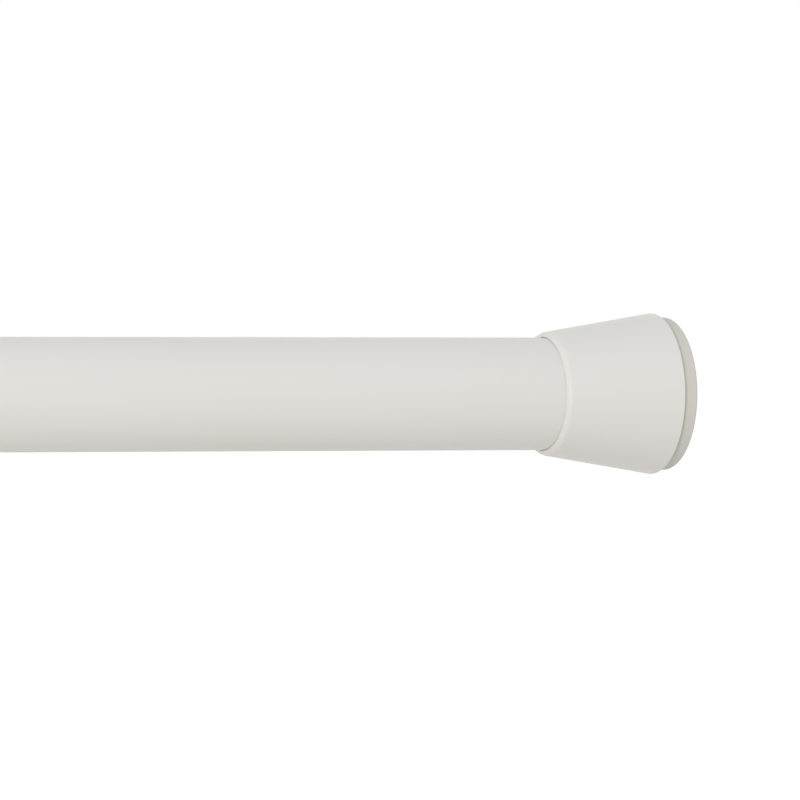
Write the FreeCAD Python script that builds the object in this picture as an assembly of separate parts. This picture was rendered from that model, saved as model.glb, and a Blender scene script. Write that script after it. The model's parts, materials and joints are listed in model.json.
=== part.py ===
"""Spring tension rod: two telescoping painted tubes between conical caps with rubber pads.

The rod lies along X. The origin is the centre of the wall face of the thicker tube's pad, +X points
out of that face into the wall, and the thinner tube runs off towards -X. Sizes are in millimetres.

Inside the thicker tube a preloaded spring pushes a spindle towards -X. A nut in the thinner tube runs
on that spindle, so turning the thinner tube lengthens the rod, and pushing it in squeezes the spring.
"""
import FreeCAD, Part
import math
import os

from FreeCAD import Vector

# Tubes. The inner tube's length follows from the closed rod.
OUTER_TUBE_DIAMETER = 25.4
OUTER_TUBE_WALL = 0.7
OUTER_TUBE_LENGTH = 527.5
INNER_TUBE_DIAMETER = 22.2
INNER_TUBE_WALL = 0.6

# Rolled grooves that hold the inserts in the tube ends
ROLL_DEPTH = 0.4
ROLL_WIDTH = 2.4
ROLL_FROM_END = 7.0

# Travel
ADJUSTMENT_TRAVEL = 304.8
SPRING_STROKE = 30.0
REST_TURNS = 6
CLOSED_GAP = 4.0

# Conical end caps
CAP_LENGTH = 26.8
CAP_FLARE = 4.38
CAP_NECK_WALL = 1.11
CAP_SHELL_WALL = 1.3
CAP_RECESS = 8.5
CAP_FLOOR = 2.0
CAP_SLOT_WIDTH = 1.0
CAP_SLOT_DEPTH = 6.0
CAP_BORE_ROUND = 0.1
CAP_MOUTH_ROUND = 0.15
CAP_RIB_COUNT = 8
CAP_RIB_THICKNESS = 1.0
CAP_RIB_INNER_RADIUS = 9.5
CRUSH_RIB_COUNT = 6
CRUSH_RIB_RADIUS = 0.4
CRUSH_RIB_SETBACK = 5.0

# Rubber pads
PAD_REACH = 3.6
PAD_STEP = 0.99
PAD_PLUG_DEPTH = 4.5
PAD_EDGE_ROUND = 0.5
PAD_BACK_ROUND = 0.15
PAD_GROOVE_COUNT = 3
PAD_GROOVE_INNER_RADIUS = 5.5
PAD_GROOVE_PITCH = 3.4
PAD_GROOVE_WIDTH = 1.2
PAD_GROOVE_DEPTH = 0.8
PAD_RECESS_RADIUS = 8.5
PAD_RECESS_DEPTH = 2.0

# Guide bush in the outer tube's open end
BUSH_LIP = 2.0
BUSH_LENGTH = 14.0
BUSH_LIP_ROUND = 0.6

# Anchor sleeve, which carries the spring in the outer tube's capped end
SEAT_FLANGE = 1.5
ANCHOR_WALL = 1.6
ANCHOR_WEB = 6.0
STOP_MARGIN = 4.0

# Compression spring
SPRING_WIRE = 2.0
SPRING_MEAN_DIAMETER = 17.0
SPRING_INSTALLED_LENGTH = 85.0
SPRING_ACTIVE_TURNS = 7
SPRING_END_TURNS = 1
SPRING_SPIGOT_LENGTH = 3.0

# Spindle and its nut
HEX_FLATS = 9.0
SHOULDER_LENGTH = 5.0
THREAD_DIAMETER = 12.0
THREAD_LEAD = 12.0
THREAD_RUN_OUT = 3.0
THREAD_CHAMFER = 1.0
GUIDE_SPIGOT_DIAMETER = 8.0
GUIDE_SPIGOT_LENGTH = 5.0
GUIDE_LENGTH = 8.0
NUT_FLANGE = 5.0
NUT_BARREL = 20.0

# Swivel plug, on which the far cap turns
SWIVEL_POST_DIAMETER = 10.0
SWIVEL_BARREL = 18.0

# Self-tapping screws and washers
SCREW_DIAMETER = 3.2
SCREW_LENGTH = 12.0
SCREW_POINT = 2.0
SCREW_HEAD_DIAMETER = 7.2
SCREW_HEAD = 2.4
SCREW_HEAD_ROUND = 1.2
PILOT_EXTRA_DEPTH = 1.0
WASHER_HOLE_PLAY = 0.4
STOP_WASHER_DIAMETER = 16.0
STOP_WASHER = 1.5
SWIVEL_WASHER_DIAMETER = 13.0
SWIVEL_WASHER = 1.0

# Clearances, radial unless the name says otherwise
PUSH_FIT = 0.05
CAP_BORE_PLAY = 0.1
TURNING_CAP_PLAY = 0.2
SLIDE_PLAY = 0.25
BUSH_PLAY = 0.15
SWIVEL_PLAY = 0.1
HEX_PLAY = 0.15
THREAD_PLAY = 0.25
SPIGOT_PLAY = 0.4
SPRING_END_GAP = 0.3
STOP_GAP = 0.2
SEAT_GAP = 0.1
EDGE_ROUND = 0.5

# Radii that several pieces share
outer_radius = OUTER_TUBE_DIAMETER / 2
outer_bore_radius = outer_radius - OUTER_TUBE_WALL
inner_radius = INNER_TUBE_DIAMETER / 2
inner_bore_radius = inner_radius - INNER_TUBE_WALL
cap_mouth_radius = outer_radius + CAP_BORE_PLAY + CAP_NECK_WALL + CAP_FLARE
cap_rim_round = CAP_NECK_WALL - CAP_BORE_ROUND
screw_radius = SCREW_DIAMETER / 2
thread_radius = THREAD_DIAMETER / 2
spigot_radius = (SPRING_MEAN_DIAMETER - SPRING_WIRE) / 2 - SPIGOT_PLAY

# Places along an end, with the pad's wall face at zero and the tube towards -X
mouth_x = -PAD_REACH
neck_x = mouth_x - CAP_LENGTH
plug_back_x = mouth_x - PAD_PLUG_DEPTH
floor_top_x = mouth_x - CAP_RECESS
floor_seat_x = floor_top_x - CAP_FLOOR
flange_x = floor_seat_x - SEAT_GAP
tube_end_x = flange_x - SEAT_FLANGE

# Places along the spring and spindle at rest
stop_height = STOP_WASHER + SCREW_HEAD
web_right_x = floor_seat_x - STOP_MARGIN - SPRING_STROKE - stop_height
web_left_x = web_right_x - ANCHOR_WEB
shoulder_right_x = web_left_x - SPRING_INSTALLED_LENGTH
shoulder_left_x = shoulder_right_x - SHOULDER_LENGTH
tail_end_x = web_right_x + STOP_GAP
nut_length = NUT_FLANGE + NUT_BARREL
thread_end_x = shoulder_left_x - 2 * THREAD_RUN_OUT - nut_length - ADJUSTMENT_TRAVEL

# Places along the telescoping tubes at rest
rest_extension = REST_TURNS * THREAD_LEAD
outer_mouth_x = tube_end_x - OUTER_TUBE_LENGTH
lip_x = outer_mouth_x - BUSH_LIP
nut_right_x = shoulder_left_x - THREAD_RUN_OUT - rest_extension
inner_right_x = nut_right_x - NUT_FLANGE
nut_left_x = inner_right_x - NUT_BARREL
closed_neck_x = lip_x - CLOSED_GAP - SPRING_STROKE
far_face_x = closed_neck_x + neck_x - rest_extension
inner_left_x = far_face_x - tube_end_x


def rounded_outline(corners):
    """Closed wire through (x, radius) corners; a third value at a corner is its fillet."""
    points = [Vector(corner[0], 0, corner[1]) for corner in corners]
    arrivals = []
    departures = []
    arcs = []
    for index, corner in enumerate(corners):
        here = points[index]
        fillet = corner[2] if len(corner) > 2 else 0
        if not fillet:
            arrivals.append(here)
            departures.append(here)
            arcs.append(None)
            continue
        to_previous = (points[index - 1] - here).normalize()
        to_next = (points[(index + 1) % len(points)] - here).normalize()
        half_angle = to_previous.getAngle(to_next) / 2
        bisector = (to_previous + to_next).normalize()
        reach = fillet / math.tan(half_angle)
        middle = here + bisector * (fillet / math.sin(half_angle) - fillet)
        arrivals.append(here + to_previous * reach)
        departures.append(here + to_next * reach)
        arcs.append(Part.Arc(arrivals[-1], middle, departures[-1]).toShape())
    edges = []
    for index, arc in enumerate(arcs):
        if arc:
            edges.append(arc)
        following = arrivals[(index + 1) % len(points)]
        if not following.isEqual(departures[index], 1e-7):
            edges.append(Part.LineSegment(departures[index], following).toShape())
    return Part.Wire(edges)


def turned(corners):
    """Solid of revolution about X from an (x, radius) outline."""
    face = Part.Face(rounded_outline(corners))
    return face.revolve(Vector(0, 0, 0), Vector(1, 0, 0), 360)


def rod(x_from, x_to, radius):
    """Plain cylinder along X."""
    return Part.makeCylinder(radius, x_to - x_from, Vector(x_from, 0, 0), Vector(1, 0, 0))


def hexagon_bar(x_from, x_to, across_flats):
    """Six-sided bar along X."""
    corner_radius = across_flats / math.sqrt(3)
    ring = []
    for side in range(7):
        angle = math.radians(60 * side)
        ring.append(Vector(x_from, corner_radius * math.cos(angle), corner_radius * math.sin(angle)))
    return Part.Face(Part.makePolygon(ring)).extrude(Vector(x_to - x_from, 0, 0))


def around_axis(shape, count):
    """Copies of a shape spaced evenly about X, as one compound."""
    copies = []
    for index in range(count):
        copy = shape.copy()
        copy.rotate(Vector(0, 0, 0), Vector(1, 0, 0), 360 * index / count)
        copies.append(copy)
    return Part.makeCompound(copies)


def facing_left(shape, x):
    """The shape turned half round to face -X, with its own zero moved to x."""
    turned_shape = shape.copy()
    turned_shape.rotate(Vector(0, 0, 0), Vector(0, 0, 1), 180)
    turned_shape.translate(Vector(x, 0, 0))
    return turned_shape


def rolled_groove(x, radius):
    """Outline corners of a rolled groove, from its right side to its left."""
    half = ROLL_WIDTH / 2
    quarter = ROLL_WIDTH / 4
    bottom = radius - ROLL_DEPTH
    return [(x + half, radius), (x + quarter, bottom), (x - quarter, bottom), (x - half, radius)]


def rolled_tube(right_x, left_x, radius, wall, groove_places):
    """Thin tube with grooves rolled into its wall."""
    outside = [(right_x, radius)]
    inside = [(right_x, radius - wall)]
    for place in groove_places:
        outside += rolled_groove(place, radius)
        inside += rolled_groove(place, radius - wall)
    outside.append((left_x, radius))
    inside.append((left_x, radius - wall))
    return turned(outside + inside[::-1])


def outer_tube():
    """Thicker tube, grooved under its cap."""
    return rolled_tube(tube_end_x, outer_mouth_x, outer_radius, OUTER_TUBE_WALL, [tube_end_x - ROLL_FROM_END])


def inner_tube():
    """Thinner tube, grooved over the nut and over the swivel plug."""
    grooves = [inner_right_x - ROLL_FROM_END, inner_left_x + ROLL_FROM_END]
    return rolled_tube(inner_right_x, inner_left_x, inner_radius, INNER_TUBE_WALL, grooves)


class EndCap:
    """Conical cap for one tube size and bore, in the end's own places."""

    def __init__(self, tube_radius, bore_play):
        self.tube_radius = tube_radius
        self.bore_radius = tube_radius + bore_play
        self.neck_radius = self.bore_radius + CAP_NECK_WALL

    def cavity_radius(self, x):
        """Radius of the shell's inside at x."""
        along = (x - neck_x) / CAP_LENGTH
        return self.neck_radius + (cap_mouth_radius - self.neck_radius) * along - CAP_SHELL_WALL

    def body(self):
        """Cone with the tube's bore, still solid at its mouth."""
        return turned([
            (neck_x, self.bore_radius, CAP_BORE_ROUND),
            (neck_x, self.neck_radius, cap_rim_round),
            (mouth_x, cap_mouth_radius, CAP_MOUTH_ROUND),
            (mouth_x, 0),
            (floor_seat_x, 0),
            (floor_seat_x, self.bore_radius),
        ])

    def ribs(self):
        """Webs across the cavity, which the pad's plug rests on."""
        web = Part.makeBox(
            plug_back_x - neck_x,
            CAP_RIB_THICKNESS,
            cap_mouth_radius - CAP_RIB_INNER_RADIUS,
            Vector(neck_x, -CAP_RIB_THICKNESS / 2, CAP_RIB_INNER_RADIUS),
        )
        return around_axis(web, CAP_RIB_COUNT)

    def cavity(self):
        """Pad recess and the slot that cores out the wall behind it, less the ribs."""
        slot_end_x = floor_top_x - CAP_SLOT_DEPTH
        floor_radius = self.cavity_radius(floor_top_x)
        slot_end_radius = self.cavity_radius(slot_end_x)
        hollow = turned([
            (mouth_x, 0),
            (mouth_x, self.cavity_radius(mouth_x)),
            (slot_end_x, slot_end_radius),
            (slot_end_x, slot_end_radius - CAP_SLOT_WIDTH),
            (floor_top_x, floor_radius - CAP_SLOT_WIDTH),
            (floor_top_x, 0),
        ])
        return hollow.cut(self.ribs())

    def crush_ribs(self):
        """Small ribs in the bore that grip the tube."""
        centre = self.tube_radius + PUSH_FIT + CRUSH_RIB_RADIUS
        start = Vector(floor_seat_x, 0, centre)
        length = floor_seat_x - neck_x - CRUSH_RIB_SETBACK
        rib = Part.makeCylinder(CRUSH_RIB_RADIUS, length, start, Vector(-1, 0, 0))
        return around_axis(rib, CRUSH_RIB_COUNT)

    def gripping(self):
        """Cap pushed on its tube for good."""
        return self.body().cut(self.cavity()).fuse(self.crush_ribs().Solids).removeSplitter()

    def turning(self):
        """Cap with a hole in its floor, which turns on a post."""
        hole = rod(floor_seat_x, floor_top_x, SWIVEL_POST_DIAMETER / 2 + SWIVEL_PLAY)
        return self.body().cut(self.cavity()).cut(hole)


def end_pad(cap):
    """Rubber pad with ringed grooves on its wall face and a plug that fills the cap's mouth."""
    pad_radius = cap_mouth_radius - PAD_STEP
    recess_x = plug_back_x + PAD_RECESS_DEPTH
    corners = [(0, 0)]
    for ring in range(PAD_GROOVE_COUNT):
        groove_inner = PAD_GROOVE_INNER_RADIUS + PAD_GROOVE_PITCH * ring
        groove_outer = groove_inner + PAD_GROOVE_WIDTH
        corners += [
            (0, groove_inner),
            (-PAD_GROOVE_DEPTH, groove_inner),
            (-PAD_GROOVE_DEPTH, groove_outer),
            (0, groove_outer),
        ]
    corners += [
        (0, pad_radius, PAD_EDGE_ROUND),
        (mouth_x, pad_radius, PAD_BACK_ROUND),
        (mouth_x, cap.cavity_radius(mouth_x) - PUSH_FIT),
        (plug_back_x, cap.cavity_radius(plug_back_x) - PUSH_FIT),
        (plug_back_x, PAD_RECESS_RADIUS),
        (recess_x, PAD_RECESS_RADIUS),
        (recess_x, 0),
    ]
    return turned(corners)


def mouth_bush():
    """Guide bush in the outer tube's open end, with a lip over the cut edge."""
    bore_radius = inner_radius + BUSH_PLAY
    barrel_radius = outer_bore_radius - PUSH_FIT
    return turned([
        (lip_x, bore_radius, BUSH_PLAY),
        (lip_x, outer_radius, BUSH_LIP_ROUND),
        (outer_mouth_x, outer_radius),
        (outer_mouth_x, barrel_radius),
        (outer_mouth_x + BUSH_LENGTH, barrel_radius),
        (outer_mouth_x + BUSH_LENGTH, bore_radius),
    ])


def anchor_sleeve():
    """Flanged sleeve with a hexagon hole in its far wall, which seats the spring."""
    barrel_radius = outer_bore_radius - PUSH_FIT
    room_radius = barrel_radius - ROLL_DEPTH - ANCHOR_WALL
    groove = rolled_groove(tube_end_x - ROLL_FROM_END, barrel_radius)
    sleeve = turned([
        (flange_x, room_radius),
        (flange_x, outer_radius),
        (tube_end_x, outer_radius),
        (tube_end_x, barrel_radius),
        *groove,
        (web_left_x, barrel_radius, EDGE_ROUND),
        (web_left_x, spigot_radius),
        (web_left_x - SPRING_SPIGOT_LENGTH, spigot_radius, EDGE_ROUND),
        (web_left_x - SPRING_SPIGOT_LENGTH, 0),
        (web_right_x, 0),
        (web_right_x, room_radius),
    ])
    hole = hexagon_bar(web_left_x - SPRING_SPIGOT_LENGTH, web_right_x, HEX_FLATS + 2 * HEX_PLAY)
    return sleeve.cut(hole)


def compression_spring():
    """Coil spring with closed ends, as half rings that each climb towards the next."""
    mean_radius = SPRING_MEAN_DIAMETER / 2
    length = SPRING_INSTALLED_LENGTH - 2 * SPRING_END_GAP
    end_rise = (SPRING_WIRE + SPRING_END_GAP) / 2
    end_halves = 2 * SPRING_END_TURNS
    active_halves = 2 * SPRING_ACTIVE_TURNS
    active_rise = (length - SPRING_WIRE - 2 * end_halves * end_rise) / active_halves
    rises = [end_rise] * end_halves + [active_rise] * active_halves + [end_rise] * end_halves
    start = Vector(shoulder_right_x + SPRING_END_GAP + SPRING_WIRE / 2, 0, mean_radius)
    section = Part.Wire([Part.makeCircle(SPRING_WIRE / 2, start, Vector(0, 1, 0))])
    rings = []
    side = 1
    for rise in rises:
        finish = Vector(start.x + rise, 0, -start.z)
        centre = (start + finish) / 2
        crest = centre + Vector(0, side * (finish - start).Length / 2, 0)
        rings.append(Part.Arc(start, crest, finish).toShape())
        start = finish
        side = -side
    coil = Part.BRepOffsetAPI.MakePipeShell(Part.Wire(rings))
    coil.add(section)
    coil.build()
    coil.makeSolid()
    return coil.shape()


def pilot_hole(mouth, inward):
    """Blind hole for a screw, from its mouth in the inward direction along X."""
    depth = SCREW_LENGTH + PILOT_EXTRA_DEPTH
    return Part.makeCylinder(screw_radius + PUSH_FIT, depth, Vector(mouth, 0, 0), Vector(inward, 0, 0))


def spindle():
    """Threaded spindle with a piston shoulder and a hexagon tail that keeps it from turning."""
    piston_radius = outer_bore_radius - SLIDE_PLAY
    guide_end_x = thread_end_x - GUIDE_SPIGOT_LENGTH
    spigot_end_x = shoulder_right_x + SPRING_SPIGOT_LENGTH
    shaft = turned([
        (spigot_end_x, 0),
        (spigot_end_x, spigot_radius, EDGE_ROUND),
        (shoulder_right_x, spigot_radius),
        (shoulder_right_x, piston_radius, EDGE_ROUND),
        (shoulder_left_x, piston_radius, EDGE_ROUND),
        (shoulder_left_x, thread_radius, EDGE_ROUND),
        (thread_end_x + THREAD_CHAMFER, thread_radius),
        (thread_end_x, thread_radius - THREAD_CHAMFER),
        (thread_end_x, GUIDE_SPIGOT_DIAMETER / 2),
        (guide_end_x, GUIDE_SPIGOT_DIAMETER / 2),
        (guide_end_x, 0),
    ])
    tail = hexagon_bar(spigot_end_x, tail_end_x, HEX_FLATS)
    return shaft.fuse(tail).cut(pilot_hole(tail_end_x, -1)).cut(pilot_hole(guide_end_x, 1))


def spindle_guide():
    """Disc on the spindle's far end, which centres it in the inner tube and stops the nut."""
    guide_radius = inner_bore_radius - SLIDE_PLAY
    socket_radius = GUIDE_SPIGOT_DIAMETER / 2 + PUSH_FIT
    socket_floor_x = thread_end_x - GUIDE_SPIGOT_LENGTH
    guide_left_x = thread_end_x - GUIDE_LENGTH
    return turned([
        (thread_end_x, socket_radius),
        (thread_end_x, guide_radius, EDGE_ROUND),
        (guide_left_x, guide_radius, EDGE_ROUND),
        (guide_left_x, screw_radius + WASHER_HOLE_PLAY),
        (socket_floor_x, screw_radius + WASHER_HOLE_PLAY),
        (socket_floor_x, socket_radius),
    ])


def drive_nut():
    """Nut that is rolled into the inner tube and runs on the spindle."""
    flange_radius = outer_bore_radius - SLIDE_PLAY
    barrel_radius = inner_bore_radius - PUSH_FIT
    bore_radius = thread_radius + THREAD_PLAY
    lead_in = bore_radius + THREAD_CHAMFER
    return turned([
        (nut_right_x - THREAD_CHAMFER, bore_radius),
        (nut_right_x, lead_in),
        (nut_right_x, flange_radius, EDGE_ROUND),
        (inner_right_x, flange_radius),
        (inner_right_x, barrel_radius),
        *rolled_groove(inner_right_x - ROLL_FROM_END, barrel_radius),
        (nut_left_x, barrel_radius, EDGE_ROUND),
        (nut_left_x, lead_in),
        (nut_left_x + THREAD_CHAMFER, bore_radius),
    ])


def swivel_plug():
    """Plug that is rolled into the inner tube, with the post that the far cap turns on."""
    barrel_radius = inner_bore_radius - PUSH_FIT
    post_radius = SWIVEL_POST_DIAMETER / 2
    post_end_x = floor_top_x + SWIVEL_PLAY
    barrel_end_x = tube_end_x - SWIVEL_BARREL
    plug = turned([
        (post_end_x, 0),
        (post_end_x, post_radius),
        (flange_x, post_radius),
        (flange_x, inner_radius),
        (tube_end_x, inner_radius),
        (tube_end_x, barrel_radius),
        *rolled_groove(tube_end_x - ROLL_FROM_END, barrel_radius),
        (barrel_end_x, barrel_radius, EDGE_ROUND),
        (barrel_end_x, 0),
    ])
    return plug.cut(pilot_hole(post_end_x, -1))


def washer(seat_x, thickness, diameter):
    """Flat washer for the screws, lying on seat_x."""
    hole_radius = screw_radius + WASHER_HOLE_PLAY
    return rod(seat_x, seat_x + thickness, diameter / 2).cut(rod(seat_x, seat_x + thickness, hole_radius))


def pan_head_screw(seat_x):
    """Self-tapping screw with its head on seat_x and its point towards -X."""
    head_radius = SCREW_HEAD_DIAMETER / 2
    return turned([
        (seat_x + SCREW_HEAD, 0),
        (seat_x + SCREW_HEAD, head_radius, SCREW_HEAD_ROUND),
        (seat_x, head_radius),
        (seat_x, screw_radius),
        (seat_x - SCREW_LENGTH + SCREW_POINT, screw_radius),
        (seat_x - SCREW_LENGTH, 0),
    ])


def make_pieces():
    """Every piece of the rod by name, where it lies at rest."""
    outer_cap = EndCap(outer_radius, CAP_BORE_PLAY)
    inner_cap = EndCap(inner_radius, TURNING_CAP_PLAY)
    stop_seat_x = tail_end_x + STOP_WASHER
    swivel_seat_x = floor_top_x + SWIVEL_PLAY
    swivel_head_x = swivel_seat_x + SWIVEL_WASHER
    guide_seat_x = thread_end_x - GUIDE_LENGTH
    return {
        "outer_tube": outer_tube(),
        "outer_end_cap": outer_cap.gripping(),
        "outer_end_pad": end_pad(outer_cap),
        "mouth_bush": mouth_bush(),
        "anchor_sleeve": anchor_sleeve(),
        "compression_spring": compression_spring(),
        "spindle": spindle(),
        "stop_washer": washer(tail_end_x, STOP_WASHER, STOP_WASHER_DIAMETER),
        "stop_screw": pan_head_screw(stop_seat_x),
        "spindle_guide": spindle_guide(),
        "guide_screw": facing_left(pan_head_screw(0), guide_seat_x),
        "inner_tube": inner_tube(),
        "drive_nut": drive_nut(),
        "swivel_plug": facing_left(swivel_plug(), far_face_x),
        "swivel_washer": facing_left(washer(swivel_seat_x, SWIVEL_WASHER, SWIVEL_WASHER_DIAMETER), far_face_x),
        "swivel_screw": facing_left(pan_head_screw(swivel_head_x), far_face_x),
        "inner_end_cap": facing_left(inner_cap.turning(), far_face_x),
        "inner_end_pad": facing_left(end_pad(inner_cap), far_face_x),
    }


def main():
    """Writes one STEP file for each piece and prints the rod's lengths."""
    os.makedirs("parts", exist_ok=True)
    for name, shape in make_pieces().items():
        if not shape.isValid():
            raise ValueError(name + " is not a valid solid")
        shape.exportStep("parts/" + name + ".step")
    print("length at rest", round(-far_face_x, 3))
    print("closed and fully extended", round(-far_face_x - rest_extension, 3),
          round(-far_face_x - rest_extension + ADJUSTMENT_TRAVEL, 3))
    print("inner tube length", round(inner_right_x - inner_left_x, 3))


main()
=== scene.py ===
"""Looks of a spring tension rod: painted tubes, moulded caps, rubber pads and the works inside.

The rod lies along X, with the wall face of its thicker end at the origin and the thinner tube towards -X.
Lengths are in metres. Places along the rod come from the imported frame, and the remaining sizes are the
fields of the class that models the piece.
"""

import json
import logging
import math
from collections.abc import Callable, Iterable, Sequence
from dataclasses import dataclass, replace
from enum import Enum

import bmesh
import bpy
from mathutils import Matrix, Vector


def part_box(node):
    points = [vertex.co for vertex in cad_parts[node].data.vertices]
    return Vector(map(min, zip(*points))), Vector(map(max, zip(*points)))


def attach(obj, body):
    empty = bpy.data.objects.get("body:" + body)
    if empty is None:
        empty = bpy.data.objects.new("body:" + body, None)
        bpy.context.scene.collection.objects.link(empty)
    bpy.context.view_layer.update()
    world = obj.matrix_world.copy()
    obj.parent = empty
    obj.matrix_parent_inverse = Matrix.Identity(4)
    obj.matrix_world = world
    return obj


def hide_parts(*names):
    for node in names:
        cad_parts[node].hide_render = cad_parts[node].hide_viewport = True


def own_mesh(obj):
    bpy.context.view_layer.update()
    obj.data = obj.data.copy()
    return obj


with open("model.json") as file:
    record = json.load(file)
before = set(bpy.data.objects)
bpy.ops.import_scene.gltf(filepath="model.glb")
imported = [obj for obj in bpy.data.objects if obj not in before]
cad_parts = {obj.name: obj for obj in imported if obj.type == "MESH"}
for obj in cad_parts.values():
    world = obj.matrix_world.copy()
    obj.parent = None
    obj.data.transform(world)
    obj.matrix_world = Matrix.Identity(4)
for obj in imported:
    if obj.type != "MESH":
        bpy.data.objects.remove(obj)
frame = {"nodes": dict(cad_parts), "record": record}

LOG = logging.getLogger("tension_rod")
TURN = 2 * math.pi
SMOOTH_ANGLE = math.radians(32)
PLACE_TOLERANCE = 2e-7
WELD_DISTANCE = 2e-6

Rgb = tuple[float, float, float]
Place = tuple[float, float, float]
ConeCorner = tuple[float, float, float]
Values = dict[str | int, float | tuple[float, ...]]


class Ends(Enum):
    """How a turned outline ends."""

    LOOP = "the outline closes on itself"
    DISCS = "its first and last rings are filled with flat discs"


class Carve(Enum):
    """What a tool solid does to a piece."""

    ADD = "UNION"
    REMOVE = "DIFFERENCE"


class Side(Enum):
    """The way an end of the rod faces along X."""

    RIGHT = 1
    LEFT = -1


@dataclass(frozen=True)
class Corner:
    """A corner of a turned outline, with the radius of its rounding."""

    x: float
    radius: float
    fillet: float = 0.0


@dataclass(frozen=True)
class Reach:
    """How far a CAD node reaches along the rod and out from its axis."""

    left: float
    right: float
    radius: float

    @property
    def length(self) -> float:
        """Length along the rod."""
        return self.right - self.left

    @classmethod
    def of(cls, node: str) -> "Reach":
        """Reads a node's ends along X and its highest point from the frame."""
        low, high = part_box(node)
        return cls(low.x, high.x, high.z)


def select_only(piece: bpy.types.Object) -> None:
    """Makes a piece the only selected object and the active one."""
    bpy.ops.object.select_all(action="DESELECT")
    piece.select_set(True)
    bpy.context.view_layer.objects.active = piece


def name_new_piece(name: str) -> bpy.types.Object:
    """Names the object that an operator has just added and puts its place in its mesh.

    Args:
        name: Name for the object and its mesh.

    Returns:
        The named object.
    """
    piece = bpy.context.active_object
    piece.name = name
    piece.data.name = name
    bpy.ops.object.transform_apply(location=True, rotation=True, scale=True)
    return piece


def select_vertices(piece: bpy.types.Object, wanted: Callable[[Vector], bool]) -> None:
    """Selects the vertices of a piece in edit mode by their place.

    Args:
        piece: Object in edit mode.
        wanted: Says of a place whether it is selected.
    """
    bpy.ops.mesh.select_all(action="DESELECT")
    mesh = bmesh.from_edit_mesh(piece.data)
    for vertex in mesh.verts:
        vertex.select_set(wanted(vertex.co))
    mesh.select_flush(True)
    bmesh.update_edit_mesh(piece.data)


def merge_doubles() -> None:
    """Selects the whole mesh in edit mode and merges the vertices that share a place."""
    bpy.ops.mesh.select_all(action="SELECT")
    bpy.ops.mesh.remove_doubles(threshold=WELD_DISTANCE)


def face_outwards() -> None:
    """Selects the whole mesh in edit mode and turns its faces outwards."""
    bpy.ops.mesh.select_all(action="SELECT")
    bpy.ops.mesh.normals_make_consistent(inside=False)


def weld(piece: bpy.types.Object) -> None:
    """Merges the vertices of a piece that share a place and turns its faces outwards."""
    select_only(piece)
    bpy.ops.object.mode_set(mode="EDIT")
    merge_doubles()
    bpy.ops.mesh.dissolve_degenerate(threshold=WELD_DISTANCE / 2)
    face_outwards()
    bpy.ops.object.mode_set(mode="OBJECT")


def carve(piece: bpy.types.Object, tool: bpy.types.Object, action: Carve) -> None:
    """Adds a tool solid to a piece or removes it, and deletes the tool.

    Args:
        piece: Closed mesh that is changed.
        tool: Closed mesh that is used up.
        action: Whether the tool's volume is added or removed.
    """
    modifier = piece.modifiers.new("carve", "BOOLEAN")
    modifier.operation = action.value
    modifier.solver = "MANIFOLD"
    modifier.object = tool
    select_only(piece)
    bpy.ops.object.modifier_apply(modifier=modifier.name)
    bpy.data.objects.remove(tool)
    weld(piece)


def repeat_around(tool: bpy.types.Object, count: int) -> bpy.types.Object:
    """Copies a tool evenly about the rod's axis and joins the copies with it.

    Args:
        tool: Object in the first place.
        count: Number of places in a full turn.

    Returns:
        The joined object.
    """
    copies = []
    for index in range(1, count):
        copy = tool.copy()
        copy.data = tool.data.copy()
        bpy.context.collection.objects.link(copy)
        select_only(copy)
        bpy.ops.transform.rotate(value=TURN * index / count, orient_axis="X", center_override=(0, 0, 0))
        bpy.ops.object.transform_apply(location=True, rotation=True, scale=True)
        copies.append(copy)
    select_only(tool)
    for copy in copies:
        copy.select_set(True)
    bpy.ops.object.join()
    return tool


def wind(profile: bpy.types.Object, pitch: float, turns: int, steps: int) -> None:
    """Winds a profile about the rod's axis, and leaves it in edit mode with all of it selected.

    Args:
        profile: Active object with the outline of one turn.
        pitch: Advance in a turn.
        turns: Number of turns.
        steps: Steps in a turn.
    """
    helix = profile.modifiers.new("helix", "SCREW")
    helix.axis = "X"
    helix.screw_offset = pitch
    helix.iterations = turns
    helix.steps = steps
    helix.render_steps = steps
    bpy.ops.object.modifier_apply(modifier=helix.name)
    bpy.ops.object.mode_set(mode="EDIT")
    merge_doubles()


def smooth_curves(piece: bpy.types.Object) -> None:
    """Shades round faces smooth and keeps flat ones flat."""
    select_only(piece)
    bpy.ops.object.shade_smooth_by_angle(angle=SMOOTH_ANGLE)
    weights = piece.modifiers.new("flat_faces", "WEIGHTED_NORMAL")
    weights.keep_sharp = True
    bpy.ops.object.modifier_apply(modifier=weights.name)


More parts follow.
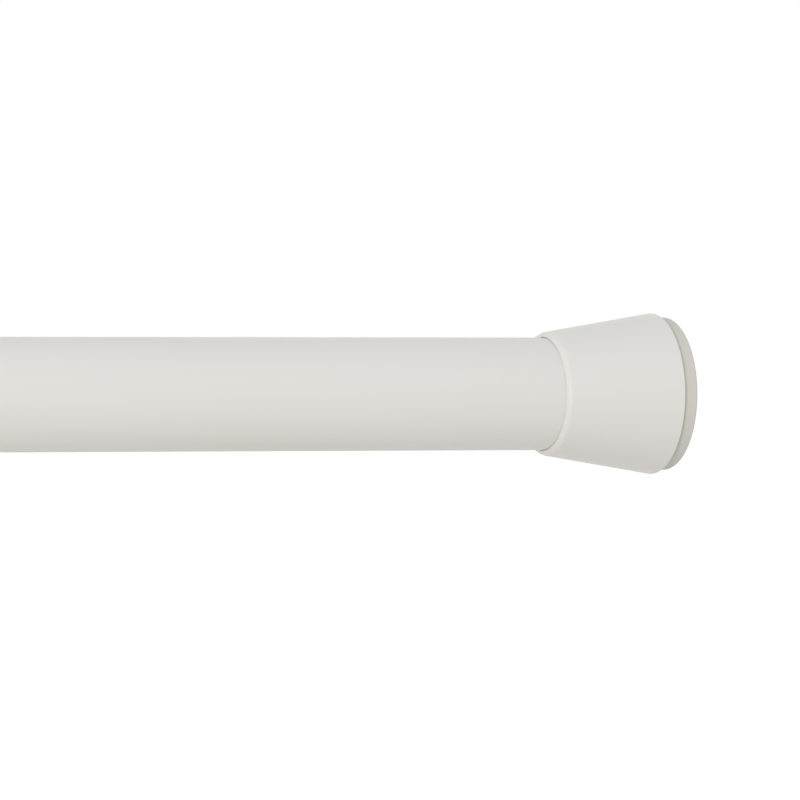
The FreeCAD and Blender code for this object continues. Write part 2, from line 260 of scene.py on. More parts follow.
@dataclass(frozen=True)
class Lathe:
    """Turns outlines about the rod's axis, one ring of edges after another."""

    segments: int = 180
    fillet_segments: int = 5

    def turn(self, name: str, corners: Sequence[Corner], ends: Ends = Ends.LOOP) -> bpy.types.Object:
        """Models a turned solid.

        Args:
            name: Name for the object.
            corners: Outline from one end to the other.
            ends: How the outline ends.

        Returns:
            The solid, with its corners rounded.
        """
        first = corners[0]
        bpy.ops.object.select_all(action="DESELECT")
        bpy.ops.mesh.primitive_circle_add(
            vertices=self.segments,
            radius=first.radius,
            location=(first.x, 0, 0),
            rotation=(0, TURN / 4, 0),
        )
        piece = name_new_piece(name)
        bpy.ops.object.mode_set(mode="EDIT")
        bpy.ops.mesh.select_mode(type="EDGE")
        bpy.ops.mesh.select_all(action="SELECT")
        here = first
        for corner in [*corners[1:], *([first] if ends is Ends.LOOP else [])]:
            self._extrude_ring(here, corner)
            here = corner
        if ends is Ends.DISCS:
            bpy.ops.mesh.edge_face_add()
            self._select_ring(piece, first)
            bpy.ops.mesh.edge_face_add()
        merge_doubles()
        face_outwards()
        for corner in corners:
            if corner.fillet:
                self._select_ring(piece, corner)
                bpy.ops.mesh.bevel(offset=corner.fillet, segments=self.fillet_segments, affect="EDGES")
        bpy.ops.object.mode_set(mode="OBJECT")
        return piece

    def _extrude_ring(self, here: Corner, there: Corner) -> None:
        """Extrudes the selected ring from one corner to the next."""
        bpy.ops.mesh.extrude_region_move(TRANSFORM_OT_translate={"value": (there.x - here.x, 0, 0)})
        spread = there.radius / here.radius
        bpy.ops.transform.resize(value=(1, spread, spread), center_override=(there.x, 0, 0))

    def _select_ring(self, piece: bpy.types.Object, corner: Corner) -> None:
        """Selects the ring of edges that lies at a corner."""

        def on_ring(place: Vector) -> bool:
            """Says whether a place lies on the ring."""
            out = math.hypot(place.y, place.z)
            return abs(place.x - corner.x) < PLACE_TOLERANCE and abs(out - corner.radius) < PLACE_TOLERANCE

        select_vertices(piece, on_ring)

    def bar(self, name: str, left: float, right: float, radius: float) -> bpy.types.Object:
        """Models a plain round bar between two places, for use as a tool."""
        return self.turn(name, [Corner(left, radius), Corner(right, radius)], Ends.DISCS)


class NodeSheet:
    """Small helper that adds nodes to a node tree and links them."""

    def __init__(self, tree: bpy.types.NodeTree) -> None:
        """Clears a tree and keeps it for adding to."""
        self.tree = tree
        tree.nodes.clear()

    def add(self, kind: str, values: Values | None = None, **settings: object) -> bpy.types.Node:
        """Adds a node.

        Args:
            kind: Blender's name for the kind of node.
            values: Constants for its inputs.
            **settings: Properties to set on it.

        Returns:
            The new node.
        """
        node = self.tree.nodes.new(kind)
        for key, value in settings.items():
            setattr(node, key, value)
        for key, value in (values or {}).items():
            node.inputs[key].default_value = value
        return node

    def link(self, source: bpy.types.Node, output: str, target: bpy.types.Node, entry: str | int) -> None:
        """Links an output of one node to an input of another."""
        self.tree.links.new(source.outputs[output], target.inputs[entry])


class SurfaceVariation:
    """Node group shared by the finishes: slow drift of colour, fine grain in gloss and height."""

    NAME = "surface_variation"
    DRIFT_DETAIL = 3
    GRAIN_DETAIL = 2
    DRIFT_LOW = 0.35
    DRIFT_HIGH = 0.65

    @classmethod
    def tree(cls) -> bpy.types.NodeTree:
        """Returns the group, building it on first use."""
        known = bpy.data.node_groups.get(cls.NAME)
        return known or cls._build()

    @classmethod
    def _build(cls) -> bpy.types.NodeTree:
        """Builds the group.

        Returns:
            A group with colour, roughness and height outputs that change over the surface.
        """
        group = bpy.data.node_groups.new(cls.NAME, "ShaderNodeTree")
        face = group.interface
        face.new_socket("Colour", in_out="INPUT", socket_type="NodeSocketColor")
        face.new_socket("Drift Colour", in_out="INPUT", socket_type="NodeSocketColor")
        for name in ("Drift Scale", "Grain Scale", "Roughness", "Roughness Drift"):
            face.new_socket(name, in_out="INPUT", socket_type="NodeSocketFloat")
        face.new_socket("Colour", in_out="OUTPUT", socket_type="NodeSocketColor")
        face.new_socket("Roughness", in_out="OUTPUT", socket_type="NodeSocketFloat")
        face.new_socket("Height", in_out="OUTPUT", socket_type="NodeSocketFloat")
        sheet = NodeSheet(group)
        given = sheet.add("NodeGroupInput")
        result = sheet.add("NodeGroupOutput")
        place = sheet.add("ShaderNodeTexCoord")
        drift = sheet.add("ShaderNodeTexNoise", {"Detail": cls.DRIFT_DETAIL})
        grain = sheet.add("ShaderNodeTexNoise", {"Detail": cls.GRAIN_DETAIL})
        spread = sheet.add("ShaderNodeMapRange", {"From Min": cls.DRIFT_LOW, "From Max": cls.DRIFT_HIGH})
        blend = sheet.add("ShaderNodeMix", data_type="RGBA")
        gloss = sheet.add("ShaderNodeMath", operation="MULTIPLY_ADD")
        sheet.link(place, "Object", drift, "Vector")
        sheet.link(place, "Object", grain, "Vector")
        sheet.link(given, "Drift Scale", drift, "Scale")
        sheet.link(given, "Grain Scale", grain, "Scale")
        sheet.link(drift, "Fac", spread, "Value")
        sheet.link(spread, "Result", blend, "Factor")
        sheet.link(given, "Colour", blend, "A")
        sheet.link(given, "Drift Colour", blend, "B")
        sheet.link(grain, "Fac", gloss, 0)
        sheet.link(given, "Roughness Drift", gloss, 1)
        sheet.link(given, "Roughness", gloss, 2)
        sheet.link(blend, "Result", result, "Colour")
        sheet.link(gloss, "Value", result, "Roughness")
        sheet.link(grain, "Fac", result, "Height")
        return group


@dataclass(frozen=True)
class Finish:
    """A surface finish and the record's slot that it belongs to."""

    slot: str
    colour: Rgb
    drift_colour: Rgb
    roughness: float
    roughness_drift: float = 0.06
    drift_scale: float = 22.0
    grain_scale: float = 1500.0
    grain_height: float = 0.00002
    grain_strength: float = 0.1
    metallic: float = 0.0
    specular: float = 0.5

    def material(self) -> bpy.types.Material:
        """Returns the finish as a material, building it on first use."""
        return bpy.data.materials.get(self.slot + "_finish") or self._build()

    def _build(self) -> bpy.types.Material:
        """Builds the material.

        Returns:
            A material whose colour, gloss and bump come from the shared variation.
        """
        material = bpy.data.materials.new(self.slot + "_finish")
        material.use_nodes = True
        sheet = NodeSheet(material.node_tree)
        output = sheet.add("ShaderNodeOutputMaterial")
        shader = sheet.add("ShaderNodeBsdfPrincipled", {
            "Metallic": self.metallic,
            "Specular IOR Level": self.specular,
        })
        variation = sheet.add("ShaderNodeGroup", {
            "Colour": (*self.colour, 1),
            "Drift Colour": (*self.drift_colour, 1),
            "Drift Scale": self.drift_scale,
            "Grain Scale": self.grain_scale,
            "Roughness": self.roughness,
            "Roughness Drift": self.roughness_drift,
        }, node_tree=SurfaceVariation.tree())
        bump = sheet.add("ShaderNodeBump", {"Strength": self.grain_strength, "Distance": self.grain_height})
        sheet.link(variation, "Colour", shader, "Base Color")
        sheet.link(variation, "Roughness", shader, "Roughness")
        sheet.link(variation, "Height", bump, "Height")
        sheet.link(bump, "Normal", shader, "Normal")
        sheet.link(shader, "BSDF", output, "Surface")
        return material


TUBE_PAINT = Finish("tube_paint", (0.726, 0.713, 0.688), (0.721, 0.707, 0.679), 0.36, specular=0.2)
CAP_PLASTIC = Finish("cap_plastic", (0.713, 0.701, 0.677), (0.708, 0.695, 0.668), 0.3, specular=0.2)
PAD_RUBBER = Finish("pad_rubber", (0.613, 0.608, 0.560), (0.602, 0.594, 0.544), 0.62, specular=0.2)
BUSH_PLASTIC = Finish("bush_plastic", (0.74, 0.735, 0.70), (0.73, 0.72, 0.68), 0.42)
INSERT_PLASTIC = Finish("insert_plastic", (0.62, 0.62, 0.60), (0.59, 0.59, 0.57), 0.48)
SPINDLE_PLASTIC = Finish("spindle_plastic", (0.78, 0.78, 0.76), (0.75, 0.75, 0.72), 0.45)
SPRING_STEEL = Finish("spring_steel", (0.42, 0.42, 0.43), (0.36, 0.36, 0.37), 0.30, metallic=1.0)
ZINC_STEEL = Finish("zinc_steel", (0.60, 0.61, 0.62), (0.55, 0.55, 0.54), 0.34, metallic=1.0)


@dataclass(frozen=True)
class Piece:
    """A modelled piece that stands for one CAD node."""

    name: str
    node: str
    finish: Finish

    def model(self, lathe: Lathe) -> bpy.types.Object:
        """Models the piece; each kind of piece has its own way.

        Args:
            lathe: Tool for its turned forms.

        Returns:
            The finished mesh, in its place.
        """
        raise NotImplementedError

    def fit(self, lathe: Lathe, carriers: dict[str, str]) -> bpy.types.Object:
        """Models, dresses and mounts the piece.

        Args:
            lathe: Tool for its turned forms.
            carriers: The body that carries each CAD node.

        Returns:
            The piece, riding on its body.
        """
        piece = self.model(lathe)
        smooth_curves(piece)
        piece.data.materials.clear()
        piece.data.materials.append(self.finish.material())
        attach(piece, carriers[self.node])
        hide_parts(self.node)
        LOG.info("%s stands for %s: %d faces", self.name, self.node, len(piece.data.polygons))
        return piece


@dataclass(frozen=True)
class RolledGroove:
    """Groove rolled into a tube to hold the insert in its end."""

    depth: float = 0.0004
    width: float = 0.0024
    from_end: float = 0.007

    def corners(self, x: float, radius: float) -> list[Corner]:
        """Returns the groove's outline from right to left, on a wall of that radius."""
        half = self.width / 2
        quarter = self.width / 4
        bottom = radius - self.depth
        return [
            Corner(x + half, radius),
            Corner(x + quarter, bottom),
            Corner(x - quarter, bottom),
            Corner(x - half, radius),
        ]


@dataclass(frozen=True)
class RolledTube(Piece):
    """Thin painted tube."""

    wall: float
    grooved: tuple[Side, ...]
    groove: RolledGroove = RolledGroove()
    deburr: float = 0.0001

    def model(self, lathe: Lathe) -> bpy.types.Object:
        """Models the tube's wall with its grooves."""
        reach = Reach.of(self.node)
        inside = reach.radius - self.wall
        places = {
            Side.RIGHT: reach.right - self.groove.from_end,
            Side.LEFT: reach.left + self.groove.from_end,
        }
        outline = [Corner(reach.right, reach.radius, self.deburr)]
        bore = [Corner(reach.right, inside, self.deburr)]
        for side in self.grooved:
            outline += self.groove.corners(places[side], reach.radius)
            bore += self.groove.corners(places[side], inside)
        outline.append(Corner(reach.left, reach.radius, self.deburr))
        bore.append(Corner(reach.left, inside, self.deburr))
        return lathe.turn(self.name, outline + bore[::-1])


@dataclass(frozen=True)
class ConeShell:
    """Hollow cone of one cap, which its pad's plug fits; distances run from its mouth to its neck."""

    cap: str
    tube: str
    side: Side
    bore_play: float
    neck_wall: float = 0.00111
    bore_round: float = 0.00003
    rim_reach: float = 0.00025
    rim_length: float = 0.0012
    rim_steps: int = 8
    shell_wall: float = 0.0013
    plug_depth: float = 0.0045

    @property
    def reach(self) -> Reach:
        """Reach of the cap's node."""
        return Reach.of(self.cap)

    @property
    def length(self) -> float:
        """Length of the cap."""
        return self.reach.length

    @property
    def tube_radius(self) -> float:
        """Radius of the tube in the neck."""
        return Reach.of(self.tube).radius

    @property
    def bore_radius(self) -> float:
        """Radius of the bore that the tube stands in."""
        return self.tube_radius + self.bore_play

    @property
    def neck_radius(self) -> float:
        """Outer radius at the neck."""
        return self.bore_radius + self.neck_wall

    @property
    def front(self) -> float:
        """Distance of the rim's front from the mouth."""
        return self.length + self.rim_reach

    def at(self, from_mouth: float) -> float:
        """Returns the place along X at a distance from the mouth."""
        mouth = self.reach.right if self.side is Side.RIGHT else self.reach.left
        return mouth - self.side.value * from_mouth

    def cavity_radius(self, from_mouth: float) -> float:
        """Returns the shell's inside radius at a distance from the mouth."""
        return self.outside_radius(from_mouth) - self.shell_wall

    def outside_radius(self, from_mouth: float) -> float:
        """Returns the shell's outer radius at a distance from the mouth."""
        mouth_radius = self.reach.radius
        return mouth_radius + (self.neck_radius - mouth_radius) * from_mouth / self.length

    def place(self, corners: Iterable[ConeCorner]) -> list[Corner]:
        """Turns distances from the mouth, radii and fillets into corners along the rod."""
        return [Corner(self.at(away), radius, fillet) for away, radius, fillet in corners]

    def rim(self) -> list[ConeCorner]:
        """Lists the neck's rim as a quarter of an ellipse.

        Returns:
            Corners from the cone to the front of the bore, none of them rounded.
        """
        inner = self.bore_radius + 2 * self.bore_round
        corners = []
        for step in range(self.rim_steps + 1):
            angle = TURN / 4 * step / self.rim_steps
            from_mouth = self.front - self.rim_length * (1 - math.sin(angle))
            height = self.outside_radius(from_mouth) - inner
            corners.append((from_mouth, inner + height * math.cos(angle), 0))
        return corners


@dataclass(frozen=True)
class EndCap(Piece):
    """Conical cap with a ribbed cavity for the pad's plug."""

    cone: ConeShell
    post_hole: float = 0.0
    recess: float = 0.0085
    floor: float = 0.002
    slot_width: float = 0.001
    slot_depth: float = 0.006
    mouth_round: float = 0.00015
    bore_lean: float = 0.0
    rib_count: int = 8
    rib_thickness: float = 0.001
    rib_inner_radius: float = 0.0095
    rib_root: float = 0.0005
    grip_count: int = 0
    grip_radius: float = 0.0004
    grip_play: float = 0.00005
    grip_setback: float = 0.005
    grip_segments: int = 24

    def model(self, lathe: Lathe) -> bpy.types.Object:
        """Turns the shell and adds its ribs."""
        shell = lathe.turn(self.name, self._outline(), Ends.LOOP if self.post_hole else Ends.DISCS)
        self._lean(shell)
        carve(shell, self._ribs(lathe), Carve.ADD)
        if self.grip_count:
            carve(shell, self._grips(), Carve.ADD)
        return shell

    def _outline(self) -> list[Corner]:
        """Lists the shell's corners from the floor through the slot and round the cone to the bore.

        Returns:
            The outline, which starts and ends at the floor.
        """
        cone = self.cone
        slot_end = self.recess + self.slot_depth
        slot_outside = cone.cavity_radius(slot_end)
        corners = [
            (self.recess, cone.cavity_radius(self.recess) - self.slot_width, 0),
            (slot_end, slot_outside - self.slot_width, 0),
            (slot_end, slot_outside, 0),
            (0, cone.cavity_radius(0), self.mouth_round),
            (0, cone.reach.radius, self.mouth_round),
            *cone.rim(),
            (cone.front, cone.bore_radius, cone.bore_round),
            (self.recess + self.floor, cone.bore_radius, 0),
        ]
        if self.post_hole:
            corners += [(self.recess + self.floor, self.post_hole, 0), (self.recess, self.post_hole, 0)]
        return cone.place(corners)

    def _lean(self, shell: bpy.types.Object) -> None:
        """Moves the bore's rim a little backwards, as on a cap that bears on one side of its tube."""
        rim = self.cone.at(self.cone.front - self.cone.bore_round) - PLACE_TOLERANCE * self.cone.side.value
        edge = self.cone.bore_radius + self.cone.bore_round + PLACE_TOLERANCE

        def on_rim(place: Vector) -> bool:
            """Says whether a place lies on the bore's rim."""
            past = (rim - place.x) * self.cone.side.value
            return past > -2 * PLACE_TOLERANCE and math.hypot(place.y, place.z) < edge

        select_only(shell)
        bpy.ops.object.mode_set(mode="EDIT")
        select_vertices(shell, on_rim)
        bpy.ops.transform.translate(value=(0, self.bore_lean, 0))
        bpy.ops.object.mode_set(mode="OBJECT")

    def _ribs(self, lathe: Lathe) -> bpy.types.Object:
        """Models the webs that cross the cavity.

        Args:
            lathe: Tool for the bar that keeps them out of the bore.

        Returns:
            All the webs as one tool, rooted in the shell.
        """
        cone = self.cone
        slot_end = self.recess + self.slot_depth
        front = cone.at(cone.plug_depth)
        back = cone.at(slot_end + self.rib_root)
        front_top = cone.cavity_radius(cone.plug_depth) + self.rib_root
        back_top = cone.cavity_radius(slot_end) + self.rib_root
        middle = (front + back) / 2
        bpy.ops.object.select_all(action="DESELECT")
        bpy.ops.mesh.primitive_cube_add(
            size=1,
            location=(middle, 0, (self.rib_inner_radius + back_top) / 2),
            scale=(abs(front - back), self.rib_thickness, back_top - self.rib_inner_radius),
        )
        web = name_new_piece("cap_web")
        bpy.ops.object.mode_set(mode="EDIT")
        outward = cone.side.value
        top = back_top - PLACE_TOLERANCE
        select_vertices(web, lambda place: (place.x - middle) * outward > 0 and place.z > top)
        bpy.ops.transform.translate(value=(0, 0, front_top - back_top))
        bpy.ops.object.mode_set(mode="OBJECT")
        webs = repeat_around(web, self.rib_count)
        ends = sorted((cone.at(self.recess + self.floor / 2), cone.at(slot_end + 2 * self.rib_root)))
        carve(webs, lathe.bar("tube_space", *ends, cone.bore_radius + self.rib_root), Carve.REMOVE)
        return webs

    def _grips(self) -> bpy.types.Object:
        """Models the small ribs in the bore that grip the tube.

        Returns:
            All the ribs as one tool.
        """
        cone = self.cone
        start = cone.at(self.recess + self.floor - self.rib_root)
        finish = cone.at(cone.length - self.grip_setback)
        bpy.ops.object.select_all(action="DESELECT")
        bpy.ops.mesh.primitive_cylinder_add(
            vertices=self.grip_segments,
            radius=self.grip_radius,
            depth=abs(start - finish),
            location=((start + finish) / 2, 0, cone.tube_radius + self.grip_play + self.grip_radius),
            rotation=(0, TURN / 4, 0),
        )
        grip = name_new_piece("cap_grip")
        return repeat_around(grip, self.grip_count)


@dataclass(frozen=True)
class EndPad(Piece):
    """Rubber pad with ringed grooves on its wall face."""

    cone: ConeShell
    push_fit: float = 0.00005
    edge_round: float = 0.0005
    back_round: float = 0.00015
    groove_count: int = 3
    groove_inner_radius: float = 0.0055
    groove_pitch: float = 0.0034
    groove_width: float = 0.0012
    groove_depth: float = 0.0008
    groove_round: float = 0.0002
    recess_radius: float = 0.0085
    recess_depth: float = 0.002

    def model(self, lathe: Lathe) -> bpy.types.Object:
        """Turns the pad from its wall face to the recess in its back."""
        cone = self.cone
        pad = Reach.of(self.node)
        plug = cone.plug_depth
        proud = pad.length - plug
        plug_mouth = cone.cavity_radius(0) - self.push_fit
        plug_back = cone.cavity_radius(plug) - self.push_fit
        corners = []
        for ring in range(self.groove_count):
            inner = self.groove_inner_radius + self.groove_pitch * ring
            outer = inner + self.groove_width
            corners += [
                (-proud, inner, self.groove_round),
                (self.groove_depth - proud, inner, 0),
                (self.groove_depth - proud, outer, 0),
                (-proud, outer, self.groove_round),
            ]
        corners += [
            (-proud, pad.radius, self.edge_round),
            (0, pad.radius, self.back_round),
            (0, plug_mouth, 0),
            (plug, plug_back, 0),
            (plug, self.recess_radius, 0),
            (plug - self.recess_depth, self.recess_radius, 0),
        ]
        return lathe.turn(self.name, cone.place(corners), Ends.DISCS)


@dataclass(frozen=True)
class MouthBush(Piece):
    """Guide bush in the thicker tube's open end, with a lip over the cut edge."""

    sliding_tube: str
    play: float = 0.00015
    push_fit: float = 0.00005
    outer_wall: float = 0.0007
    lip: float = 0.002
    lip_round: float = 0.0006

    def model(self, lathe: Lathe) -> bpy.types.Object:
        """Turns the bush."""
        bush = Reach.of(self.node)
        bore = Reach.of(self.sliding_tube).radius + self.play
        barrel = bush.radius - self.outer_wall - self.push_fit
        shoulder = bush.left + self.lip
        return lathe.turn(self.name, [
            Corner(bush.left, bore, self.play),
            Corner(bush.left, bush.radius, self.lip_round),
            Corner(shoulder, bush.radius),
            Corner(shoulder, barrel),
            Corner(bush.right, barrel),
            Corner(bush.right, bore),
        ])


@dataclass(frozen=True)
class CoilSpring(Piece):
    """Compression spring with closed ends, as a true helix."""

    joint: str
    wire: float = 0.002
    mean_radius: float = 0.0085
    active_turns: int = 7
    end_turns: int = 1
    closed_gap: float = 0.0003
    seat_gap: float = 0.0003
    steps: int = 60
    wire_resolution: int = 5
    stroke: float = 0.03

    def model(self, lathe: Lathe) -> bpy.types.Object:
        """Lays the wire along its helix and makes it a mesh."""
        curve = bpy.data.curves.new(self.name, "CURVE")
        curve.dimensions = "3D"
        curve.bevel_depth = self.wire / 2
        curve.bevel_resolution = self.wire_resolution
        curve.use_fill_caps = True
        places = list(self._helix())
        line = curve.splines.new("POLY")
        line.points.add(len(places) - 1)
        for point, place in zip(line.points, places):
            point.co = (*place, 1)
        spring = bpy.data.objects.new(self.name, curve)
        bpy.context.collection.objects.link(spring)
        select_only(spring)
        bpy.ops.object.convert(target="MESH")
        spring = bpy.context.active_object
        bpy.ops.object.mode_set(mode="EDIT")
        merge_doubles()
        face_outwards()
        bpy.ops.object.mode_set(mode="OBJECT")
        return spring

    def _helix(self) -> Iterable[Vector]:
        """Yields the wire's centre line, close-wound at both ends."""
        reach = Reach.of(self.node)
        first = reach.left + self.wire / 2
        span = reach.length - self.wire
        end_pitch = self.wire + self.closed_gap
        active_pitch = (span - 2 * self.end_turns * end_pitch) / self.active_turns
        turns = self.active_turns + 2 * self.end_turns
        for step in range(turns * self.steps + 1):
            turned = step / self.steps
            closed = min(turned, self.end_turns) + max(0, turned - self.end_turns - self.active_turns)
            along = first + closed * end_pitch + (turned - closed) * active_pitch
            angle = TURN * turned
            yield Vector((along, self.mean_radius * math.sin(angle), self.mean_radius * math.cos(angle)))

    def fit(self, lathe: Lathe, carriers: dict[str, str]) -> bpy.types.Object:
        """Fits the spring like any other piece and gives its object a mesh of its own."""
        spring = super().fit(lathe, carriers)
        reach = Reach.of(self.node)
        length = reach.length + 2 * self.seat_gap
        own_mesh(spring)
        return spring


@dataclass(frozen=True)
class ThreadForm:
    """Two-start trapezoidal thread that the spindle and its nut share."""

    crest_radius: float = 0.006
    depth: float = 0.001
    lead: float = 0.012
    starts: int = 2
    root_width: float = 0.0027
    flank_run: float = 0.0003
    steps: int = 48

    def bar(self, name: str, left: float, right: float, grow: float = 0.0) -> bpy.types.Object:
        """Models a threaded bar whose thread starts from the frame's origin, so that bars mesh.

        Args:
            name: Name for the object.
            left: Its left end.
            right: Its right end.
            grow: How far its surface is moved out, for cutting a nut.

        Returns:
            A closed bar with flat ends.
        """
        start = math.floor(left / self.lead - 1) * self.lead
        turns = math.ceil((right - start) / self.lead) + 1
        bpy.ops.object.select_all(action="DESELECT")
        root = self.crest_radius - self.depth + grow
        bpy.ops.mesh.primitive_plane_add(size=self.depth, location=(start + grow, 0, root))
        bar = name_new_piece(name)
        bpy.ops.object.mode_set(mode="EDIT")
        bpy.ops.mesh.select_mode(type="VERT")
        bpy.ops.mesh.select_all(action="SELECT")
        bpy.ops.mesh.merge(type="CENTER")
        root_width = self.root_width - 2 * grow
        crest_width = self.lead / self.starts - root_width - 2 * self.flank_run
        legs = [
            (root_width, 0),
            (self.flank_run, self.depth),
            (crest_width, 0),
            (self.flank_run, -self.depth),
        ]
        for along, out in legs * self.starts:
            bpy.ops.mesh.extrude_vertices_move(TRANSFORM_OT_translate={"value": (along, 0, out)})
        bpy.ops.object.mode_set(mode="OBJECT")
        wind(bar, self.lead, turns, self.steps)
        bpy.ops.mesh.bisect(plane_co=(left, 0, 0), plane_no=(1, 0, 0), use_fill=True, clear_inner=True)
        bpy.ops.mesh.select_all(action="SELECT")
        bpy.ops.mesh.bisect(plane_co=(right, 0, 0), plane_no=(1, 0, 0), use_fill=True, clear_outer=True)
        face_outwards()
        bpy.ops.object.mode_set(mode="OBJECT")
        return bar


@dataclass(frozen=True)
class ThreadedSpindle(Piece):
    """Spindle with a piston shoulder, a hexagon tail and a two-start thread."""

    spring: str
    guide: str
    thread: ThreadForm = ThreadForm()
    seat_gap: float = 0.0003
    spigot_radius: float = 0.0071
    spigot_length: float = 0.003
    shoulder: float = 0.005
    edge_round: float = 0.0005
    hex_flats: float = 0.009
    guide_spigot_radius: float = 0.004
    pilot_radius: float = 0.00165
    pilot_depth: float = 0.013
    end_chamfer: float = 0.001
    overlap: float = 0.0005

    def model(self, lathe: Lathe) -> bpy.types.Object:
        """Turns the shaft, adds its thread and tail and drills its ends."""
        reach = Reach.of(self.node)
        piston_right = Reach.of(self.spring).left - self.seat_gap
        piston_left = piston_right - self.shoulder
        spigot_end = piston_right + self.spigot_length
        thread_end = Reach.of(self.guide).right
        core = self.thread.crest_radius - self.thread.depth
        shaft = lathe.turn(self.name, [
            Corner(spigot_end, self.spigot_radius, self.edge_round),
            Corner(piston_right, self.spigot_radius),
            Corner(piston_right, reach.radius, self.edge_round),
            Corner(piston_left, reach.radius, self.edge_round),
            Corner(piston_left, core - self.overlap),
            Corner(thread_end, core - self.overlap),
            Corner(thread_end, self.guide_spigot_radius),
            Corner(reach.left, self.guide_spigot_radius),
        ], Ends.DISCS)
        thread = self.thread.bar("spindle_thread", thread_end, piston_left + self.overlap)
        carve(thread, self._end_chamfer(lathe, thread_end, core), Carve.REMOVE)
        carve(shaft, thread, Carve.ADD)
        carve(shaft, self._tail(spigot_end, reach.right), Carve.ADD)
        for mouth, inward in ((reach.right, -1), (reach.left, 1)):
            ends = sorted((mouth - inward * self.overlap, mouth + inward * self.pilot_depth))
            carve(shaft, lathe.bar("pilot", *ends, self.pilot_radius), Carve.REMOVE)
        return shaft

    def _end_chamfer(self, lathe: Lathe, thread_end: float, core: float) -> bpy.types.Object:
        """Models the ring that bevels the thread's free end."""
        spare = self.overlap
        return lathe.turn("thread_chamfer", [
            Corner(thread_end - spare, core - spare),
            Corner(thread_end + self.end_chamfer + spare, self.thread.crest_radius + spare),
            Corner(thread_end - spare, self.thread.crest_radius + spare),
        ])

    def _tail(self, left: float, right: float) -> bpy.types.Object:
        """Models the six-sided tail with a small bevel round its end."""
        bpy.ops.object.select_all(action="DESELECT")
        bpy.ops.mesh.primitive_cylinder_add(
            vertices=6,
            radius=self.hex_flats / math.sqrt(3),
            depth=right - left + self.overlap,
            location=((left + right - self.overlap) / 2, 0, 0),
            rotation=(0, TURN / 4, 0),
        )
        tail = name_new_piece("spindle_tail")
        bpy.ops.object.mode_set(mode="EDIT")
        select_vertices(tail, lambda place: place.x > right - PLACE_TOLERANCE)
        bpy.ops.mesh.bevel(offset=self.edge_round, segments=1, affect="EDGES")
        bpy.ops.object.mode_set(mode="OBJECT")
        return tail


@dataclass(frozen=True)
class DriveNut(Piece):
    """Nut that is rolled into the thinner tube's end and runs on the spindle."""

    tube: str
    tube_wall: float
    thread: ThreadForm = ThreadForm()
    thread_play: float = 0.00025
    push_fit: float = 0.00005
    edge_round: float = 0.0005
    groove: RolledGroove = RolledGroove()

    def model(self, lathe: Lathe) -> bpy.types.Object:
        """Turns the nut and cuts its thread."""
        nut = Reach.of(self.node)
        tube = Reach.of(self.tube)
        barrel = tube.radius - self.tube_wall - self.push_fit
        bore = self.thread.crest_radius - self.thread.depth + 2 * self.thread_play
        lead_in = self.thread.crest_radius + 2 * self.thread_play
        chamfer = lead_in - bore
        body = lathe.turn(self.name, [
            Corner(nut.right - chamfer, bore),
            Corner(nut.right, lead_in),
            Corner(nut.right, nut.radius, self.edge_round),
            Corner(tube.right, nut.radius),
            Corner(tube.right, barrel),
            *self.groove.corners(tube.right - self.groove.from_end, barrel),
            Corner(nut.left, barrel, self.edge_round),
            Corner(nut.left, lead_in),
            Corner(nut.left + chamfer, bore),
        ])
        spare = self.edge_round
        tap = self.thread.bar("nut_tap", nut.left - spare, nut.right + spare, self.thread_play)
        carve(body, tap, Carve.REMOVE)
        return body


